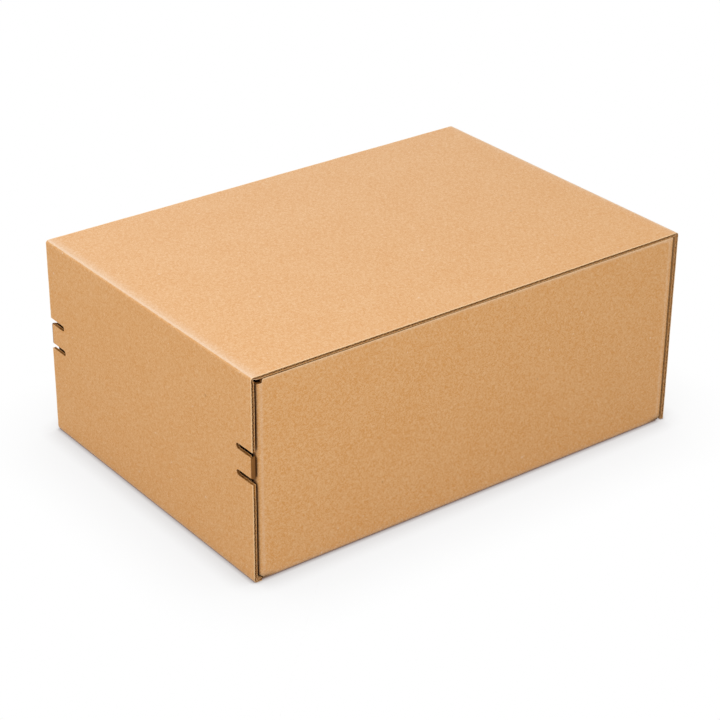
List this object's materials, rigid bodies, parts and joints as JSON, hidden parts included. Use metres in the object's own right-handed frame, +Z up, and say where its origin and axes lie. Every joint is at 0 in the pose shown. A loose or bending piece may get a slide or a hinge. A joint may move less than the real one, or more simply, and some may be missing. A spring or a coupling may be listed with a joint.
{
  "type": "closed cardboard box",
  "caption": "Closed rectangular box folded from one die-cut sheet of corrugated board, with slotted locking tabs at the upright corners of its left end.",
  "frame": {"origin": "middle of the box's footprint, on the floor", "axes": "+X along the long side, away from the end panel that shows the slots; the long face that is seen is at -Y; +Z up"},
  "size_m": [0.25, 0.172, 0.103],
  "materials": {
    "kraft_board": "matte brown kraft"
  },
  "bodies": {
    "root": {"closed_box": "kraft_board"}
  },
  "joints": []
}
